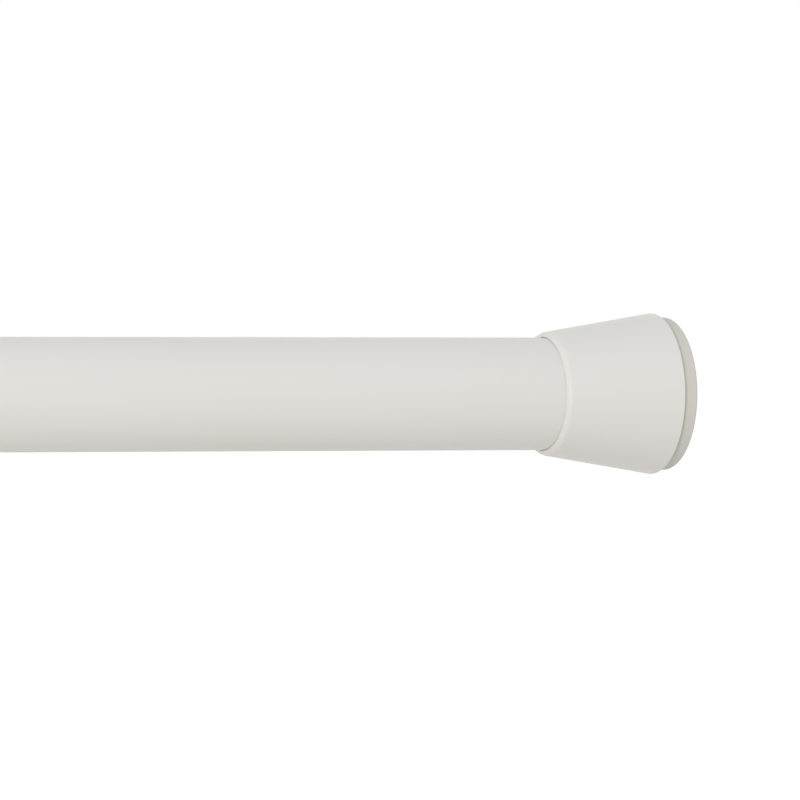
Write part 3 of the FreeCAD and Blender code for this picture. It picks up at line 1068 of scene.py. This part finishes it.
@dataclass(frozen=True)
class PanHeadScrew(Piece):
    """Self-tapping screw with a cross recess."""

    side: Side
    head: float = 0.0024
    head_round: float = 0.0012
    edge_round: float = 0.00015
    core_radius: float = 0.00115
    thread_radius: float = 0.0016
    thread_pitch: float = 0.0013
    thread_half_width: float = 0.00035
    ridge_centre: float = 0.25
    ridge_peak: float = 0.75
    ridge_spread: float = 0.65
    point: float = 0.002
    tip_radius: float = 0.0002
    recess_length: float = 0.0042
    recess_width: float = 0.00085
    recess_depth: float = 0.0014
    segments: int = 48

    def model(self, lathe: Lathe) -> bpy.types.Object:
        """Turns the screw, winds its thread and cuts the recess in its head."""
        reach = Reach.of(self.node)
        out = self.side.value
        top = reach.right if self.side is Side.RIGHT else reach.left
        tip = reach.left if self.side is Side.RIGHT else reach.right
        seat = top - out * self.head
        taper = tip + out * self.point
        screw = replace(lathe, segments=self.segments).turn(self.name, [
            Corner(top, reach.radius, self.head_round),
            Corner(seat, reach.radius, self.edge_round),
            Corner(seat, self.core_radius),
            Corner(taper, self.core_radius),
            Corner(tip, self.tip_radius),
        ], Ends.DISCS)
        carve(screw, self._thread(seat, taper), Carve.ADD)
        carve(screw, self._recess(top), Carve.REMOVE)
        return screw

    def _thread(self, seat: float, taper: float) -> bpy.types.Object:
        """Winds a sharp ridge round the core, from below the head to the taper.

        Args:
            seat: Place of the head's underside.
            taper: Place where the point begins.

        Returns:
            The ridge as a closed tool.
        """
        left, right = sorted((seat, taper))
        turns = int((right - left) / self.thread_pitch) - 1
        start = (left + right - turns * self.thread_pitch) / 2
        ridge = self.thread_radius - self.core_radius
        bpy.ops.object.select_all(action="DESELECT")
        centre = (start, 0, self.core_radius + ridge * self.ridge_centre)
        bpy.ops.mesh.primitive_circle_add(
            vertices=3,
            radius=ridge * self.ridge_peak,
            location=centre,
            rotation=(TURN / 4, 0, 0),
        )
        thread = name_new_piece("screw_thread")
        bpy.ops.object.mode_set(mode="EDIT")
        bpy.ops.mesh.select_all(action="SELECT")
        slim = self.thread_half_width / (ridge * self.ridge_spread)
        bpy.ops.transform.resize(value=(slim, 1, 1), center_override=centre)
        bpy.ops.object.mode_set(mode="OBJECT")
        wind(thread, self.thread_pitch, turns, self.segments)
        bpy.ops.mesh.select_all(action="SELECT")
        bpy.ops.mesh.fill_holes(sides=0)
        face_outwards()
        bpy.ops.object.mode_set(mode="OBJECT")
        return thread

    def _recess(self, top: float) -> bpy.types.Object:
        """Models the cross that is cut into the head."""
        bars = []
        for across in ((self.recess_length, self.recess_width), (self.recess_width, self.recess_length)):
            bpy.ops.object.select_all(action="DESELECT")
            bpy.ops.mesh.primitive_cube_add(
                size=1, location=(top, 0, 0), scale=(2 * self.recess_depth, *across)
            )
            bars.append(name_new_piece("screw_cross"))
        carve(bars[0], bars[1], Carve.ADD)
        return bars[0]


@dataclass(frozen=True)
class Works:
    """CAD nodes whose shape is right and that only take a finish."""

    finishes: tuple[tuple[str, Finish], ...] = (
        ("anchor_sleeve", INSERT_PLASTIC),
        ("swivel_plug", INSERT_PLASTIC),
        ("spindle_guide", INSERT_PLASTIC),
        ("stop_washer", ZINC_STEEL),
        ("swivel_washer", ZINC_STEEL),
    )

    def dress(self, nodes: dict[str, bpy.types.Object]) -> None:
        """Gives each node its material.

        Args:
            nodes: The frame's objects by name.
        """
        for name, finish in self.finishes:
            slots = nodes[name].data.materials
            slots.clear()
            slots.append(finish.material())
            LOG.info("%s keeps its CAD shape", name)


@dataclass(frozen=True)
class Lamp:
    """Soft rectangular lamp, placed by its direction from the object."""

    name: str
    azimuth: float
    elevation: float
    distance: float
    width: float
    height: float
    watts: float


@dataclass(frozen=True)
class Studio:
    """White studio: floor, soft light and the photograph's camera."""

    aim: Place = (-0.0658, 0.0, -0.00133)
    camera_azimuth: float = -23.795
    camera_elevation: float = 0.2335
    camera_distance: float = 1.86676
    lens: float = 374.894
    floor_drop: float = 0.12
    floor_size: float = 40.0
    floor_colour: Rgb = (0.82, 0.81, 0.78)
    floor_glow: float = 0.40
    sky_strength: float = 0.782
    lamps: tuple[Lamp, ...] = (
        Lamp("key_lamp", azimuth=-42, elevation=1.5, distance=2.0, width=0.6, height=0.7, watts=19.5),
    )

    def build(self) -> None:
        """Builds the whole studio."""
        self._world()
        self._floor()
        for lamp in self.lamps:
            self._lamp(lamp)
        self._camera()
        bpy.context.scene.view_settings.view_transform = "Standard"

    def _world(self) -> None:
        """Makes a world that looks plain white and lights the rod softly from all sides."""
        world = bpy.data.worlds.new("studio_world")
        bpy.context.scene.world = world
        world.use_nodes = True
        sheet = NodeSheet(world.node_tree)
        output = sheet.add("ShaderNodeOutputWorld")
        mix = sheet.add("ShaderNodeMixShader")
        seen = sheet.add("ShaderNodeBackground", {"Color": (1, 1, 1, 1)})
        light = sheet.add("ShaderNodeBackground", {"Color": (1, 1, 1, 1), "Strength": self.sky_strength})
        sheet.link(self._seen_directly(sheet), "Value", mix, "Fac")
        sheet.link(light, "Background", mix, 1)
        sheet.link(seen, "Background", mix, 2)
        sheet.link(mix, "Shader", output, "Surface")

    def _seen_directly(self, sheet: NodeSheet) -> bpy.types.Node:
        """Adds the light path test for rays that show the background.

        Args:
            sheet: Tree to add it to.

        Returns:
            A node whose value is one for camera, glossy and transmission rays.
        """
        path = sheet.add("ShaderNodeLightPath")
        first = sheet.add("ShaderNodeMath", operation="MAXIMUM")
        second = sheet.add("ShaderNodeMath", operation="MAXIMUM")
        sheet.link(path, "Is Camera Ray", first, 0)
        sheet.link(path, "Is Glossy Ray", first, 1)
        sheet.link(first, "Value", second, 0)
        sheet.link(path, "Is Transmission Ray", second, 1)
        return second

    def _floor(self) -> None:
        """Lays a pale floor that looks white where it is lit and keeps the rod's shadow."""
        bpy.ops.object.select_all(action="DESELECT")
        bpy.ops.mesh.primitive_plane_add(size=self.floor_size, location=(0, 0, -self.floor_drop))
        floor = name_new_piece("floor")
        material = bpy.data.materials.new("floor_white")
        material.use_nodes = True
        sheet = NodeSheet(material.node_tree)
        output = sheet.add("ShaderNodeOutputMaterial")
        matt = sheet.add("ShaderNodeBsdfDiffuse", {"Color": (*self.floor_colour, 1)})
        glow = sheet.add("ShaderNodeEmission")
        strength = sheet.add("ShaderNodeMath", {1: self.floor_glow}, operation="MULTIPLY")
        both = sheet.add("ShaderNodeAddShader")
        sheet.link(self._seen_directly(sheet), "Value", strength, 0)
        sheet.link(strength, "Value", glow, "Strength")
        sheet.link(matt, "BSDF", both, 0)
        sheet.link(glow, "Emission", both, 1)
        sheet.link(both, "Shader", output, "Surface")
        floor.data.materials.append(material)

    def _lamp(self, lamp: Lamp) -> None:
        """Hangs a lamp so that it faces the object."""
        light = bpy.data.lights.new(lamp.name, "AREA")
        light.shape = "RECTANGLE"
        light.size = lamp.width
        light.size_y = lamp.height
        light.energy = lamp.watts
        holder = bpy.data.objects.new(lamp.name, light)
        holder.visible_camera = False
        self._point(holder, lamp.azimuth, lamp.elevation, lamp.distance)

    def _camera(self) -> None:
        """Sets the camera where the photograph was taken from."""
        lens = bpy.data.cameras.new("photo_camera")
        lens.lens = self.lens
        lens.clip_end = self.floor_size
        camera = bpy.data.objects.new("photo_camera", lens)
        self._point(camera, self.camera_azimuth, self.camera_elevation, self.camera_distance)
        bpy.context.scene.camera = camera

    def _point(self, holder: bpy.types.Object, azimuth: float, elevation: float, distance: float) -> None:
        """Puts a lamp or camera into the scene so that it faces the object.

        Args:
            holder: The lamp or camera.
            azimuth: Degrees from straight in front, to the right.
            elevation: Degrees above the object.
            distance: Distance from the aim.
        """
        turned = math.radians(azimuth)
        raised = math.radians(elevation)
        back = Vector((
            math.sin(turned) * math.cos(raised),
            -math.cos(turned) * math.cos(raised),
            math.sin(raised),
        ))
        holder.location = Vector(self.aim) + back * distance
        holder.rotation_euler = (-back).to_track_quat("-Z", "Y").to_euler()
        bpy.context.scene.collection.objects.link(holder)


OUTER_WALL = 0.0007
INNER_WALL = 0.0006
SWIVEL_HOLE = 0.0051
OUTER_CONE = ConeShell("outer_end_cap", "outer_tube", Side.RIGHT, bore_play=0.0001)
INNER_CONE = ConeShell("inner_end_cap", "inner_tube", Side.LEFT, bore_play=0.0002)

PIECES: tuple[Piece, ...] = (
    RolledTube("outer_tube_painted", "outer_tube", TUBE_PAINT, OUTER_WALL, (Side.RIGHT,)),
    RolledTube("inner_tube_painted", "inner_tube", TUBE_PAINT, INNER_WALL, (Side.RIGHT, Side.LEFT)),
    EndCap("outer_cap_moulding", "outer_end_cap", CAP_PLASTIC, OUTER_CONE, bore_lean=0.00009, grip_count=6),
    EndCap("inner_cap_moulding", "inner_end_cap", CAP_PLASTIC, INNER_CONE, post_hole=SWIVEL_HOLE),
    EndPad("outer_pad_rubber", "outer_end_pad", PAD_RUBBER, OUTER_CONE),
    EndPad("inner_pad_rubber", "inner_end_pad", PAD_RUBBER, INNER_CONE),
    MouthBush("mouth_bush_moulding", "mouth_bush", BUSH_PLASTIC, "inner_tube"),
    CoilSpring("spring_wire", "compression_spring", SPRING_STEEL, "spring_compression"),
    ThreadedSpindle("spindle_threaded", "spindle", SPINDLE_PLASTIC, "compression_spring", "spindle_guide"),
    DriveNut("drive_nut_threaded", "drive_nut", INSERT_PLASTIC, "inner_tube", INNER_WALL),
    PanHeadScrew("stop_screw_threaded", "stop_screw", ZINC_STEEL, Side.RIGHT),
    PanHeadScrew("guide_screw_threaded", "guide_screw", ZINC_STEEL, Side.LEFT),
    PanHeadScrew("swivel_screw_threaded", "swivel_screw", ZINC_STEEL, Side.LEFT),
)


def main() -> None:
    """Builds the rod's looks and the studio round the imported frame."""
    logging.basicConfig(level=logging.INFO, format="%(name)s: %(message)s")
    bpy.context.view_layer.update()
    bodies = frame["record"]["behaviour"]["bodies"]
    carriers = {node: body for body, members in bodies.items() for node in members}
    lathe = Lathe()
    for piece in PIECES:
        piece.fit(lathe, carriers)
    Works().dress(frame["nodes"])
    Studio().build()


if __name__ == "__main__":
    main()
